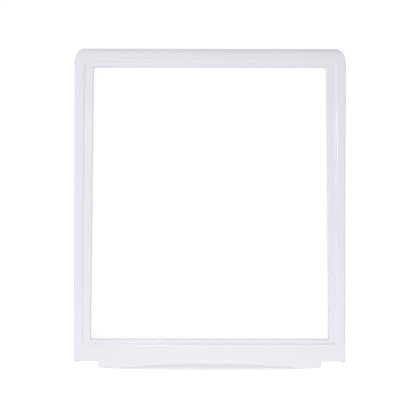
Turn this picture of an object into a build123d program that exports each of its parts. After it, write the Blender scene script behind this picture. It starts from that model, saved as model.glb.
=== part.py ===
"""Crisper drawer cover: a one-piece moulded frame that carries a glass pane over a refrigerator drawer.

It lies flat with its top face up. X runs across, +Y is the rear edge, -Y the bowed front lip, and the foot
of the skirt stands on Z = 0. The origin is on the floor, under the middle of the whole outline.
"""
import os
from math import hypot, radians, sin

from build123d import *

# Overall sizes, in millimetres
frame_width = 400.0  # across the two side rims
frame_depth = 461.5  # from the rear edge to the front ends of the side rims
frame_height = 20.0  # from the foot of the skirt to the top of the rims
wall = 2.4  # moulded wall

# Side and rear rims
side_rim_width = 16.2  # at the rear
rear_rim_width = 22.1
rear_corner_across = 14.7  # the rear corners are quarter ellipses
rear_corner_along = 22.0
rear_roll_length = 9.0  # the rear rim rolls down towards its edge
rear_roll_angle = 63.0  # how steep the roll is where it meets the rear wall, in degrees
outer_edge_radius = 1.5  # round the outline, over the rims and the lip

# Glass seat: a recess with leaning walls inside the rims, and a ledge round the window
pane_depth = 1.4  # from the ledge up to the top of the rims
recess_lean = 3.6  # how far the recess walls lean out on their way up
recess_flare = 2.0  # the recess is wider at the front, by this much on each side
recess_rear_radius = 6.0
recess_front_radius = 2.5
recess_edge_radius = 2.5
recess_foot_radius = 2.0
side_ledge_width = 11.5  # at the rear
rear_ledge_width = 5.0
front_ledge_width = 4.3
window_flare = 3.8  # the window is wider at the front, by this much on each side
window_rear_radius = 3.0
window_front_radius = 1.2
window_edge_radius = 0.8
window_lip_depth = 10.0  # the turned-down lip round the window

# Front bar and its lip
front_bar_width = 27.5
lip_width = 328.0
lip_reach = 9.3
lip_bow = 5.4  # how far the lip's edge bows out in the middle
lip_inner_radius = 0.8  # inside the hollow lip's corners
lip_root_radius = 3.0

# Scoop along the lip: a finger pull that dips in an arc from end to end, with a slanted back wall
scoop_width = 285.0  # where its ends run out at the edge of the lip
scoop_depth = 7.6  # at the middle
scoop_run = 7.6  # how far the back wall slants back on its way up
scoop_brow_drop = 0.8  # above this depth the wall eases towards the bar
scoop_brow_run = 3.2
scoop_brow_radius = 4.0
scoop_foot_radius = 2.0
scoop_edge_relief = 0.5  # the scoop's front edge is this much sharper than the outline's edge

# Tips of the skirt at the front corners, swept forward from the front edge
tip_reach = 3.0
tip_sweep = 11.5
tip_end = 1.0
tip_height = 14.0

# Stiffening ribs in the channel underneath
rib_thickness = 1.6
rib_setback = 1.0  # the ribs stop this far above the foot of the window lip
side_rib_count = 7
rear_rib_count = 5
front_rib_count = 6

# Places that follow from the sizes
overall_depth = frame_depth + lip_reach + lip_bow
half_width = frame_width / 2
rear_y = overall_depth / 2
front_y = rear_y - frame_depth
lip_y = front_y - lip_reach
bow_y = lip_y - lip_bow
roll_radius = rear_roll_length / sin(radians(rear_roll_angle))
ledge_top = frame_height - pane_depth
recess_half = half_width - side_rim_width
recess_rear_y = rear_y - rear_rim_width
recess_front_y = front_y + front_bar_width
window_lip_foot = ledge_top - window_lip_depth
rib_foot = window_lip_foot + rib_setback
window_half = recess_half - side_ledge_width
window_rear_y = recess_rear_y - rear_ledge_width
window_front_y = recess_front_y + front_ledge_width
window_length = window_rear_y - window_front_y
lip_half = lip_width / 2
lip_edge_radius = (lip_half**2 + lip_bow**2) / (2 * lip_bow)
scoop_half = scoop_width / 2
scoop_edge_radius = outer_edge_radius - scoop_edge_relief
scoop_foot_y = bow_y + lip_edge_radius - (lip_edge_radius**2 - scoop_half**2) ** 0.5
scoop_floor = frame_height - scoop_depth
scoop_radius = (scoop_half**2 + scoop_depth**2) / (2 * scoop_depth)
overlap = wall / 2  # how far joined forms run into each other
upright = (Align.CENTER, Align.CENTER, Align.MIN)

# Places of the ribs
window_middle_y = (window_rear_y + window_front_y) / 2
side_rib_length = half_width - window_half - wall
side_rib_x = half_width - overlap - side_rib_length / 2
side_rib_pitch = window_length / side_rib_count
rear_rib_y = (rear_y + window_rear_y) / 2
rear_rib_length = rear_y - window_rear_y - wall
rear_rib_pitch = 2 * window_half / rear_rib_count
front_rib_y = (window_front_y + lip_y) / 2
front_rib_length = window_front_y - lip_y - wall
front_rib_pitch = lip_width / front_rib_count


def frame_outline(inset):
    """Plan of the frame without its lip, drawn in by inset all round."""
    across = rear_corner_across - inset
    along = rear_corner_along - inset
    side_x = half_width - inset
    back_y = rear_y - inset
    fore_y = front_y + inset
    with BuildSketch() as outline:
        with BuildLine():
            Line((side_x - across, back_y), (across - side_x, back_y))
            EllipticalCenterArc((across - side_x, back_y - along), across, along, 90)
            Polyline(
                (-side_x, back_y - along), (-side_x, fore_y), (side_x, fore_y), (side_x, back_y - along)
            )
            EllipticalCenterArc((side_x - across, back_y - along), across, along, 0)
        make_face()
    return outline.sketch


def flared_outline(half, flare, back_y, fore_y, rear_radius, front_radius):
    """Plan of an opening that widens towards the front by flare on each side, with rounded corners."""
    with BuildSketch() as outline:
        with BuildLine():
            Polyline(
                (-half - flare, fore_y), (half + flare, fore_y), (half, back_y), (-half, back_y), close=True
            )
        make_face()
        fillet(outline.vertices().group_by(Axis.Y)[-1], rear_radius)
        fillet(outline.vertices().group_by(Axis.Y)[0], front_radius)
    return outline.sketch


def recess_outline(grow):
    """Plan of the glass recess at its foot, grown by grow all round."""
    return flared_outline(
        recess_half + grow,
        recess_flare,
        recess_rear_y + grow,
        recess_front_y - grow,
        recess_rear_radius + grow,
        recess_front_radius + grow,
    )


def window_outline(grow):
    """Plan of the window, grown by grow all round."""
    return flared_outline(
        window_half + grow,
        window_flare,
        window_rear_y + grow,
        window_front_y - grow,
        window_rear_radius + grow,
        window_front_radius + grow,
    )


def lip_outline(inset):
    """Plan of the front lip with its bowed edge, drawn in by inset, and run back into the front bar."""
    end_x = lip_half - inset
    edge_y = lip_y + inset
    root_y = front_y + inset + overlap
    with BuildSketch() as outline:
        with BuildLine():
            edge = ThreePointArc((end_x, edge_y), (0, bow_y + inset), (-end_x, edge_y))
            Polyline(edge @ 1, (-end_x, root_y), (end_x, root_y), edge @ 0)
        make_face()
        fillet(outline.vertices().group_by(Axis.Y)[0], lip_inner_radius + wall - inset)
    return outline.sketch


def roll_section(inset):
    """Section of what the rolled rear edge clears away, Y across and Z up, moved in by inset."""
    start_y = rear_y - rear_roll_length
    clear_y = rear_y + wall
    clear_z = frame_height + wall
    with BuildSketch() as section:
        with BuildLine():
            roll = CenterArc(
                (start_y, frame_height - roll_radius), roll_radius - inset, 90, -rear_roll_angle
            )
            Polyline(roll @ 1, (clear_y, (roll @ 1).Y), (clear_y, clear_z), (start_y, clear_z), roll @ 0)
        make_face()
    return section.sketch


def scoop_section():
    """Section through the middle of the scoop, on the plane X = 0."""
    brow_y = scoop_foot_y + scoop_run * (scoop_depth - scoop_brow_drop) / scoop_depth
    brow_z = frame_height - scoop_brow_drop
    back_y = brow_y + 2 * scoop_brow_run
    back_z = frame_height + scoop_brow_drop
    open_y = bow_y - scoop_depth
    open_z = frame_height + 2 * scoop_depth
    with BuildSketch(Plane.YZ) as section:
        with BuildLine():
            Polyline(
                (open_y, scoop_floor),
                (scoop_foot_y, scoop_floor),
                (brow_y, brow_z),
                (back_y, back_z),
                (back_y, open_z),
                (open_y, open_z),
                close=True,
            )
        make_face()
        fillet(section.vertices().sort_by_distance((scoop_foot_y, scoop_floor))[0], scoop_foot_radius)
        fillet(section.vertices().sort_by_distance((brow_y, brow_z))[0], scoop_brow_radius)
    return section.sketch


def scoop_backing():
    """Section through the scoop and its slanted wall, run down past the inside of the lip."""
    foot_y = scoop_foot_y + wall * hypot(scoop_run, scoop_depth) / scoop_depth
    open_y = bow_y - 2 * scoop_run
    open_z = frame_height + scoop_depth
    with BuildSketch(Plane.YZ) as section:
        with BuildLine():
            Polyline(
                (foot_y - scoop_run, scoop_floor - scoop_depth),
                (foot_y + 2 * scoop_run, open_z),
                (open_y, open_z),
                (open_y, scoop_floor - scoop_depth),
                close=True,
            )
        make_face()
    return section.sketch


def top_edges(part):
    """Edges where the upright walls of a part meet its top."""
    walls = part.faces().filter_by(lambda face: abs(face.normal_at().Z) < 1e-6)
    edges = walls.edges().filter_by(Axis.Z, reverse=True)
    return edges.filter_by(lambda edge: edge.center().Z > window_lip_foot)


def ledge_face(part):
    """The flat floor of the recess."""
    return part.faces().filter_by(Axis.Z).sort_by(lambda face: abs(face.center().Z - ledge_top))[0]


scoop_axis = Axis((0, 0, scoop_floor + scoop_radius), (0, 1, 0))

# Skin: the whole outside, solid underneath, with the recess, the window, the rolled rear and the scoop
with BuildPart() as skin:
    with BuildSketch() as plan:
        add(frame_outline(0))
        add(lip_outline(0))
        roots = plan.vertices().filter_by(lambda corner: abs(abs(corner.X) - lip_half) < overlap)
        fillet(roots.group_by(Axis.Y)[-1], lip_root_radius)
    extrude(amount=frame_height)
    with BuildSketch(Plane.XY.offset(ledge_top)):
        add(recess_outline(0))
    with BuildSketch(Plane.XY.offset(frame_height)):
        add(recess_outline(recess_lean))
    loft(mode=Mode.SUBTRACT)
    fillet(skin.faces().sort_by(Axis.Z)[-1].inner_wires().edges(), recess_edge_radius)
    fillet(ledge_face(skin).outer_wire().edges(), recess_foot_radius)
    with BuildSketch(Plane.YZ):
        add(roll_section(0))
    extrude(amount=frame_width, both=True, mode=Mode.SUBTRACT)
    fillet(top_edges(skin), outer_edge_radius)
    add(scoop_section())
    revolve(axis=scoop_axis, mode=Mode.SUBTRACT)
    fillet(skin.edges().sort_by_distance((0, bow_y, scoop_floor))[0], scoop_edge_radius)
    add(window_outline(0))
    extrude(amount=frame_height, mode=Mode.SUBTRACT)
    fillet(ledge_face(skin).inner_wires().edges(), window_edge_radius)

# Underside: the hollow of the channel, with the ribs and the wall behind the scoop left standing
with BuildPart() as hollow:
    with BuildSketch():
        add(frame_outline(wall))
        add(window_outline(wall), mode=Mode.SUBTRACT)
    extrude(amount=ledge_top - wall)
    with BuildSketch():
        add(frame_outline(wall))
        add(recess_outline(recess_lean + wall), mode=Mode.SUBTRACT)
        add(lip_outline(wall))
    extrude(amount=frame_height - wall)
    with BuildSketch():
        add(window_outline(wall + overlap))
    extrude(amount=window_lip_foot)
    with BuildSketch(Plane.YZ):
        add(roll_section(wall))
    extrude(amount=frame_width, both=True, mode=Mode.SUBTRACT)
    add(scoop_backing())
    revolve(axis=scoop_axis, mode=Mode.SUBTRACT)
    rib_height = frame_height - rib_foot
    with Locations((0, window_middle_y, rib_foot)):
        with GridLocations(2 * side_rib_x, side_rib_pitch, 2, side_rib_count):
            Box(side_rib_length, rib_thickness, rib_height, align=upright, mode=Mode.SUBTRACT)
    with Locations((0, rear_rib_y, rib_foot)):
        with GridLocations(rear_rib_pitch, 0, rear_rib_count, 1):
            Box(rib_thickness, rear_rib_length, rib_height, align=upright, mode=Mode.SUBTRACT)
    with Locations((0, front_rib_y, rib_foot)):
        with GridLocations(front_rib_pitch, 0, front_rib_count, 1):
            Box(rib_thickness, front_rib_length, rib_height, align=upright, mode=Mode.SUBTRACT)

# Tips: the skirt's front corners, swept forward to a narrow end
with BuildPart() as tips:
    with BuildSketch():
        with BuildLine():
            sweep_arc = TangentArc(
                (half_width - tip_sweep, front_y),
                (half_width - tip_end, front_y - tip_reach),
                tangent=(1, 0),
            )
            Polyline(
                sweep_arc @ 1,
                (half_width, front_y - tip_reach),
                (half_width, front_y + overlap),
                (half_width - tip_sweep, front_y + overlap),
                sweep_arc @ 0,
            )
        make_face()
        mirror(about=Plane.YZ)
    extrude(amount=tip_height)

# The whole moulding
with BuildPart() as cover_frame:
    add(skin.part)
    add(tips.part)
    add(hollow.part, mode=Mode.SUBTRACT)

os.makedirs("parts", exist_ok=True)
cover_frame.part.label = "cover_frame"
export_step(cover_frame.part, "parts/cover_frame.step")
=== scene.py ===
import math

import bmesh
import bpy
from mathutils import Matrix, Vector


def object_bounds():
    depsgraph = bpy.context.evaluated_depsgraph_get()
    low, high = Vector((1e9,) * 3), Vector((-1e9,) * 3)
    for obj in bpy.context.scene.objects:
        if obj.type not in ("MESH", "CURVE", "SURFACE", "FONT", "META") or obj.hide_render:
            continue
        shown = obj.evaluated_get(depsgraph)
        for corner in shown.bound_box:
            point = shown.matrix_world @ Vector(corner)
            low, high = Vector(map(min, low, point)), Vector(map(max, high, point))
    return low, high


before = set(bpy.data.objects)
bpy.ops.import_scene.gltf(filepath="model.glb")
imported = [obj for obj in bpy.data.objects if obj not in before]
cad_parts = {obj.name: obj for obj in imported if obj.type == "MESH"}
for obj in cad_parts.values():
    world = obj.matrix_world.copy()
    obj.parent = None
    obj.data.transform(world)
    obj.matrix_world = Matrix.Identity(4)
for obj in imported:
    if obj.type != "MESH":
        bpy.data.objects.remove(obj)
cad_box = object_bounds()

# Cover frame: the whole moulding, one piece of white plastic with a soft gloss, as it leaves the mould.
# The rims, the front bar, the ledge and the skirt are one skin, so one mesh carries one finish all over.
# The tone drifts a little over the piece, the gloss is not quite even, and the skin has a very fine grain.
frame_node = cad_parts["cover_frame"]
plastic_light = (0.815, 0.805, 0.862, 1.0)
plastic_deep = (0.785, 0.776, 0.834, 1.0)
plastic_ior = 1.46
drift_scale = 14.0  # patches of tone about 70 mm across
drift_detail = 3.0
drift_roughness = 0.55
gloss_scale = 45.0  # patches of gloss about 20 mm across
gloss_detail = 4.0
roughness_low = 0.08
roughness_high = 0.13
grain_scale = 2600.0  # grains about 0.4 mm across
grain_detail = 2.0
grain_strength = 0.4
grain_height = 0.00001

plastic = bpy.data.materials.new("white_plastic_moulded")
plastic.use_nodes = True
plastic_nodes = plastic.node_tree.nodes
plastic_links = plastic.node_tree.links
plastic_shader = plastic_nodes["Principled BSDF"]
plastic_shader.inputs["IOR"].default_value = plastic_ior
plastic_place = plastic_nodes.new("ShaderNodeTexCoord")


def plastic_noise(scale, detail):
    """A cloudy pattern that stays in its place on the moulding."""
    noise = plastic_nodes.new("ShaderNodeTexNoise")
    noise.inputs["Scale"].default_value = scale
    noise.inputs["Detail"].default_value = detail
    plastic_links.new(plastic_place.outputs["Object"], noise.inputs["Vector"])
    return noise


tone_drift = plastic_noise(drift_scale, drift_detail)
tone_drift.inputs["Roughness"].default_value = drift_roughness
tone_mix = plastic_nodes.new("ShaderNodeMix")
tone_mix.data_type = "RGBA"
tone_mix.inputs["A"].default_value = plastic_deep
tone_mix.inputs["B"].default_value = plastic_light
plastic_links.new(tone_drift.outputs["Fac"], tone_mix.inputs["Factor"])
plastic_links.new(tone_mix.outputs["Result"], plastic_shader.inputs["Base Color"])

gloss_drift = plastic_noise(gloss_scale, gloss_detail)
gloss_range = plastic_nodes.new("ShaderNodeMapRange")
gloss_range.inputs["To Min"].default_value = roughness_low
gloss_range.inputs["To Max"].default_value = roughness_high
plastic_links.new(gloss_drift.outputs["Fac"], gloss_range.inputs["Value"])
plastic_links.new(gloss_range.outputs["Result"], plastic_shader.inputs["Roughness"])

fine_grain = plastic_noise(grain_scale, grain_detail)
grain_bump = plastic_nodes.new("ShaderNodeBump")
grain_bump.inputs["Strength"].default_value = grain_strength
grain_bump.inputs["Distance"].default_value = grain_height
plastic_links.new(fine_grain.outputs["Fac"], grain_bump.inputs["Height"])
plastic_links.new(grain_bump.outputs["Normal"], plastic_shader.inputs["Normal"])

frame_node.data.materials.clear()
frame_node.data.materials.append(plastic)

# Floor: a plain white table top that the frame lies on, many times wider than the frame.
# To the eye it glows, so that it reads as white paper and still keeps the frame's soft shadow.
# To the frame it is matt and pale, and sends some light back up.
floor_half = 6.0
floor_matt_grey = (0.85, 0.85, 0.85, 1.0)
floor_shade_grey = (0.12, 0.12, 0.12, 1.0)
floor_glow_strength = 0.92

floor_mesh = bpy.data.meshes.new("floor")
floor_form = bmesh.new()
bmesh.ops.create_grid(floor_form, x_segments=1, y_segments=1, size=floor_half)
floor_form.to_mesh(floor_mesh)
floor_form.free()
floor = bpy.data.objects.new("floor", floor_mesh)
bpy.context.scene.collection.objects.link(floor)


def seen_plainly(nodes, links):
    """A socket that is 1 for the eye and for what gloss or glass shows it, and 0 for light on the frame."""
    ray = nodes.new("ShaderNodeLightPath")
    mirrored = nodes.new("ShaderNodeMath")
    mirrored.operation = "MAXIMUM"
    seen = nodes.new("ShaderNodeMath")
    seen.operation = "MAXIMUM"
    links.new(ray.outputs["Is Glossy Ray"], mirrored.inputs[0])
    links.new(ray.outputs["Is Transmission Ray"], mirrored.inputs[1])
    links.new(ray.outputs["Is Camera Ray"], seen.inputs[0])
    links.new(mirrored.outputs[0], seen.inputs[1])
    return seen.outputs[0]


floor_paint = bpy.data.materials.new("floor_white")
floor_paint.use_nodes = True
floor_nodes = floor_paint.node_tree.nodes
floor_links = floor_paint.node_tree.links
floor_nodes.clear()
floor_matt = floor_nodes.new("ShaderNodeBsdfDiffuse")
floor_matt.inputs["Color"].default_value = floor_matt_grey
floor_shade = floor_nodes.new("ShaderNodeBsdfDiffuse")
floor_shade.inputs["Color"].default_value = floor_shade_grey
floor_glow = floor_nodes.new("ShaderNodeEmission")
floor_glow.inputs["Strength"].default_value = floor_glow_strength
floor_bright = floor_nodes.new("ShaderNodeAddShader")
floor_mix = floor_nodes.new("ShaderNodeMixShader")
floor_out = floor_nodes.new("ShaderNodeOutputMaterial")
floor_links.new(floor_shade.outputs["BSDF"], floor_bright.inputs[0])
floor_links.new(floor_glow.outputs["Emission"], floor_bright.inputs[1])
floor_links.new(seen_plainly(floor_nodes, floor_links), floor_mix.inputs["Fac"])
floor_links.new(floor_matt.outputs["BSDF"], floor_mix.inputs[1])
floor_links.new(floor_bright.outputs["Shader"], floor_mix.inputs[2])
floor_links.new(floor_mix.outputs["Shader"], floor_out.inputs["Surface"])
floor_mesh.materials.append(floor_paint)

# Surroundings: a white studio all round and above. The eye, and what gloss shows it, see plain white.
# The frame itself gets a dimmer, even light from every side.
studio_white = (1.0, 1.0, 1.0, 1.0)
seen_strength = 1.0
fill_strength = 0.408

world = bpy.data.worlds.new("studio")
bpy.context.scene.world = world
world.use_nodes = True
world_nodes = world.node_tree.nodes
world_links = world.node_tree.links
world_nodes.clear()
world_white = world_nodes.new("ShaderNodeBackground")
world_white.inputs["Color"].default_value = studio_white
world_white.inputs["Strength"].default_value = seen_strength
world_fill = world_nodes.new("ShaderNodeBackground")
world_fill.inputs["Color"].default_value = studio_white
world_fill.inputs["Strength"].default_value = fill_strength
world_mix = world_nodes.new("ShaderNodeMixShader")
world_out = world_nodes.new("ShaderNodeOutputWorld")
world_links.new(seen_plainly(world_nodes, world_links), world_mix.inputs["Fac"])
world_links.new(world_fill.outputs["Background"], world_mix.inputs[1])
world_links.new(world_white.outputs["Background"], world_mix.inputs[2])
world_links.new(world_mix.outputs["Shader"], world_out.inputs["Surface"])

# Lamps: large soft boxes overhead, at the left and at the rear left, and two nearer ones for the front bar.
# Two small lamps high up put glints on the rounded edges of the recess. The rear box is a cool white and
# the nearest front one a warm white, so the rear rim looks a little bluer than the front bar.
white_light = (1.0, 1.0, 1.0)
cool_light = (0.81, 0.86, 1.0)
warm_light = (1.0, 1.0, 0.875)


def area_lamp(name, place, size, power, tint):
    """A square soft box at a place, turned towards the middle of the frame's foot."""
    lamp_data = bpy.data.lights.new(name, "AREA")
    lamp_data.size = size
    lamp_data.energy = power
    lamp_data.color = tint
    lamp = bpy.data.objects.new(name, lamp_data)
    lamp.location = place
    lamp.rotation_mode = "QUATERNION"
    lamp.rotation_quaternion = (-Vector(place)).to_track_quat("-Z", "Y")
    bpy.context.scene.collection.objects.link(lamp)


area_lamp("overhead_softbox", place=(0.0, 0.0, 2.2), size=1.6, power=5.0, tint=white_light)
area_lamp("left_softbox", place=(-1.4, 0.0, 1.3), size=1.2, power=4.1, tint=white_light)
area_lamp("rear_softbox", place=(-1.0, 1.0, 1.5), size=1.2, power=5.7, tint=cool_light)
area_lamp("front_softbox", place=(0.1, -0.7, 0.9), size=0.5, power=3.1, tint=warm_light)
area_lamp("sheen_softbox", place=(0.06, -0.5, 1.5), size=0.7, power=0.83, tint=white_light)
area_lamp("rear_lamp", place=(-0.25, 0.27, 1.6), size=0.12, power=2.4, tint=white_light)
area_lamp("near_lamp", place=(-0.165, 0.195, 1.6), size=0.08, power=0.75, tint=white_light)

# Camera: straight above the frame and square on to it, far enough off to show little of the inner walls.
# The frame lies a touch right of the picture's middle and a touch below it.
image_pixels = 416
pixels_across_frame = 271.5
aim_offset_pixels = (-1.8, 1.72)
camera_roll = math.radians(0.12)
camera_distance = 1.2

frame_across = cad_box[1].x - cad_box[0].x
metres_per_pixel = frame_across / pixels_across_frame
view_width = image_pixels * metres_per_pixel
camera_data = bpy.data.cameras.new("camera")
camera_data.lens = camera_data.sensor_width * camera_distance / view_width
camera = bpy.data.objects.new("camera", camera_data)
camera.location = (
    aim_offset_pixels[0] * metres_per_pixel,
    aim_offset_pixels[1] * metres_per_pixel,
    cad_box[1].z + camera_distance,
)
camera.rotation_euler = (0.0, 0.0, camera_roll)
bpy.context.scene.collection.objects.link(camera)
bpy.context.scene.camera = camera
bpy.context.scene.view_settings.view_transform = "Standard"
